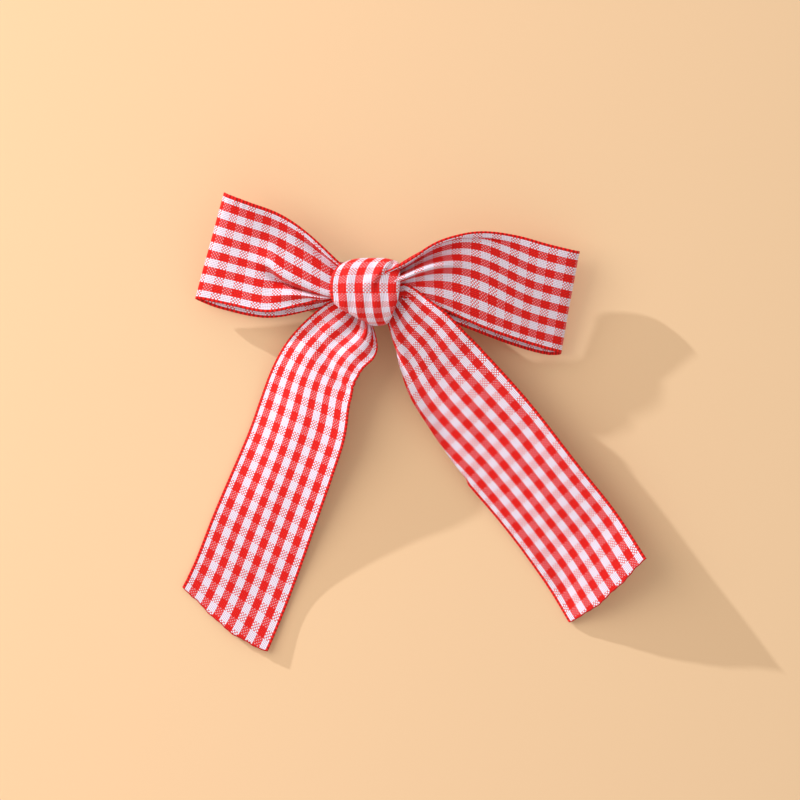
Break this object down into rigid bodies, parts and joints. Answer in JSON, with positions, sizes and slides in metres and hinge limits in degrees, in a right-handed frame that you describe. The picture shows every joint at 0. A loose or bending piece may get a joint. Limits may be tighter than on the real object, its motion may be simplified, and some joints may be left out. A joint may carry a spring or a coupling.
{
  "type": "hair bow clip",
  "caption": "Gingham ribbon bow with loops, gathered knot and long tails, glued on a sprung steel hair clip with toothed jaws.",
  "frame": {"origin": "On the flat underside of the clip's lower jaw, below the middle of the knot.", "axes": "X runs across the bow towards its right loop as seen from the front, Y up the bow away from the tails, Z out of the bow's face. The flat underside of the clip is the plane Z = 0."},
  "size_m": [0.1068, 0.1063, 0.0181],
  "materials": {
    "gingham_ribbon": "yarn-dyed plain weave in red and white checks, with a low sheen",
    "gathered_ribbon": "pressed folds of the same ribbon",
    "thread": "twisted sewing thread",
    "glue": "set hot-melt glue, cloudy",
    "clip_steel": "nickel-plated, light brushing",
    "pin_steel": "plated rivet",
    "spring_steel": "drawn spring wire"
  },
  "bodies": {
    "bow": {"left_loop": "gingham_ribbon", "right_loop": "gingham_ribbon", "left_tail": "gingham_ribbon", "right_tail": "gingham_ribbon", "centre_gather": "gathered_ribbon", "binding_thread": "thread", "knot_wrap": "gingham_ribbon", "glue_pad": "glue", "upper_jaw": "clip_steel", "pivot_pin": "pin_steel", "torsion_spring": "spring_steel"},
    "jaw": {"lower_jaw": "clip_steel"}
  },
  "joints": [
    {"name": "jaw_hinge", "type": "hinge", "parent": "bow", "child": "jaw", "pos_m": [0.00891, 0.00025, 0.0042], "axis": [-0.1392, -0.9903, 0], "range_deg": [0, 32], "stiffness_Nm_per_rad": 0.09, "springref_deg": -20.05, "deforming": ["torsion_spring"]}
  ]
}
